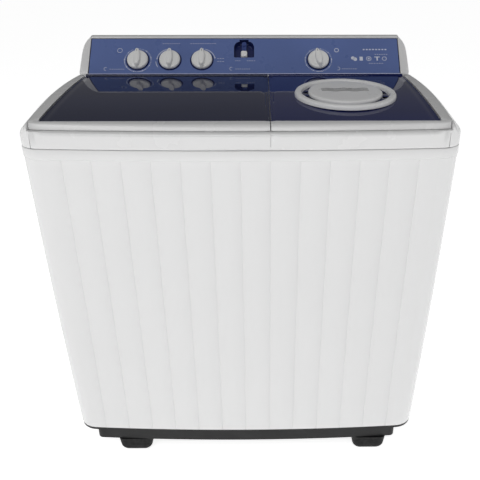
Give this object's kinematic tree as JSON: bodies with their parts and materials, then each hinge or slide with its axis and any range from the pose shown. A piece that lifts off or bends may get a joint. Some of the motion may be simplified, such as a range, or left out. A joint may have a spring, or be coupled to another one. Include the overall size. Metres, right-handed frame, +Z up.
{
  "type": "twin tub washer",
  "caption": "Wide top-loading washing machine with a wash tub and a spin basket side by side, hinged clear lids and a sloping knob panel.",
  "frame": {"origin": "centre of the footprint on the floor", "axes": "+X to the operator's right, front faces -Y, +Z up"},
  "size_m": [0.9218, 0.5719, 1.029],
  "materials": {
    "cabinet_white": "gloss",
    "deck_white": "gloss",
    "panel_blue": "gloss",
    "navy_plastic": "satin",
    "lid_smoke": "gloss",
    "lid_blue": "gloss",
    "knob_grey": "satin",
    "vent_white": "gloss",
    "tub_plastic": "satin",
    "basket_plastic": "satin",
    "pulsator_blue": "gloss",
    "black_plastic": "matte",
    "foot_rubber": "matte",
    "seal_rubber": "matte",
    "steel": "brushed",
    "motor_steel": "satin",
    "cast_alloy": "cast",
    "pipe_grey": "matte",
    "switch_plastic": "matte"
  },
  "bodies": {
    "cabinet": {"cabinet_shell": "cabinet_white", "rear_cover": "cabinet_white", "rear_cover_screws": "steel", "base_pan": "black_plastic", "feet": "black_plastic", "foot_pads": "foot_rubber", "deck_frame": "deck_white", "lid_hinge_pins": "steel", "control_housing": "deck_white", "end_cap_left": "deck_white", "end_cap_right": "deck_white", "control_fascia": "panel_blue", "wash_timer": "switch_plastic", "wash_mode_switch": "switch_plastic", "drain_selector": "switch_plastic", "spin_timer": "switch_plastic", "lever_guide": "navy_plastic", "water_inlet": "pipe_grey", "inlet_duct": "tub_plastic", "wash_tub": "tub_plastic", "lint_filter": "pulsator_blue", "overflow_pipe": "tub_plastic", "pulsator_bearing": "cast_alloy", "pulsator_seal": "seal_rubber", "drive_belt": "seal_rubber", "wash_motor": "motor_steel", "motor_bracket": "motor_steel", "drain_tub": "tub_plastic", "spin_seal_boot": "seal_rubber", "spin_motor": "motor_steel", "spin_motor_springs": "steel", "drain_valve_body": "pipe_grey", "drain_pipe": "pipe_grey", "drain_outlet": "pipe_grey", "capacitor": "motor_steel", "cord_gland": "black_plastic"},
    "wash_lid": {"wash_lid_panel": "lid_smoke", "wash_lid_handle": "deck_white"},
    "spin_lid": {"spin_lid_panel": "lid_blue", "spin_lid_handle": "deck_white", "vent_ring": "vent_white", "vent_disc": "vent_white"},
    "wash_timer_dial": {"wash_timer_knob": "knob_grey"},
    "wash_mode_dial": {"wash_mode_knob": "knob_grey"},
    "drain_dial": {"drain_knob": "knob_grey"},
    "spin_timer_dial": {"spin_timer_knob": "knob_grey"},
    "inlet_selector": {"inlet_lever": "knob_grey"},
    "agitator": {"pulsator": "pulsator_blue", "pulsator_screw": "steel", "pulsator_shaft": "steel", "wash_pulley": "cast_alloy"},
    "wash_rotor": {"wash_motor_rotor": "steel", "motor_pulley": "cast_alloy"},
    "spinner": {"spin_basket": "basket_plastic", "basket_balance_ring": "tub_plastic", "spin_shaft": "steel", "brake_drum": "cast_alloy"},
    "basket_cover": {"press_lid": "pulsator_blue"},
    "brake": {"brake_lever": "motor_steel"},
    "drain_valve": {"drain_valve_plug": "seal_rubber"}
  },
  "joints": [
    {"name": "wash_lid_hinge", "type": "hinge", "parent": "cabinet", "child": "wash_lid", "pos_m": [-0.174, 0.127, 0.9405], "axis": [-1, 0, 0], "range_deg": [0, 100]},
    {"name": "spin_lid_hinge", "type": "hinge", "parent": "cabinet", "child": "spin_lid", "pos_m": [0.235, 0.127, 0.9405], "axis": [-1, 0, 0], "range_deg": [0, 100]},
    {"name": "wash_timer_turn", "type": "hinge", "parent": "cabinet", "child": "wash_timer_dial", "pos_m": [-0.28, 0.16794, 0.9737], "axis": [0, 0.723, -0.6909], "range_deg": [0, 300]},
    {"name": "wash_mode_turn", "type": "hinge", "parent": "cabinet", "child": "wash_mode_dial", "pos_m": [-0.196, 0.16794, 0.9737], "axis": [0, 0.723, -0.6909], "range_deg": [-90, 0]},
    {"name": "drain_selector_turn", "type": "hinge", "parent": "cabinet", "child": "drain_dial", "pos_m": [-0.112, 0.16794, 0.9737], "axis": [0, 0.723, -0.6909], "range_deg": [0, 75]},
    {"name": "spin_timer_turn", "type": "hinge", "parent": "cabinet", "child": "spin_timer_dial", "pos_m": [0.194, 0.16794, 0.9737], "axis": [0, 0.723, -0.6909], "range_deg": [0, 285]},
    {"name": "inlet_lever_swing", "type": "hinge", "parent": "cabinet", "child": "inlet_selector", "pos_m": [-0.0015, 0.20525, 1.01274], "axis": [0, -0.723, 0.6909], "range_deg": [-16, 16]},
    {"name": "agitator_spin", "type": "hinge", "parent": "cabinet", "child": "agitator", "pos_m": [-0.179, -0.064, 0.28], "axis": [0, 0, 1], "continuous": true},
    {"name": "wash_motor_spin", "type": "hinge", "parent": "cabinet", "child": "wash_rotor", "pos_m": [-0.03, 0.085, 0.28], "axis": [0, 0, 1], "continuous": true},
    {"name": "basket_spin", "type": "hinge", "parent": "cabinet", "child": "spinner", "pos_m": [0.237, -0.062, 0.3], "axis": [0, 0, 1], "continuous": true},
    {"name": "basket_cover_lift", "type": "slide", "parent": "spinner", "child": "basket_cover", "axis": [0, 0, 1], "range_m": [0, 0.09]},
    {"name": "brake_pull", "type": "hinge", "parent": "cabinet", "child": "brake", "pos_m": [0.315, -0.038, 0.318], "axis": [0, 0, -1], "range_deg": [0, 2.5]},
    {"name": "drain_valve_lift", "type": "slide", "parent": "cabinet", "child": "drain_valve", "axis": [0, 0, 1], "range_m": [0, 0.0121]}
  ],
  "couplings": [
    {"joint": "wash_motor_spin", "follows": "agitator_spin", "ratio": 3.4522},
    {"joint": "brake_pull", "follows": "spin_lid_hinge", "ratio": 0.025},
    {"joint": "drain_valve_lift", "follows": "drain_selector_turn", "m_per_rad": 0.009167}
  ]
}
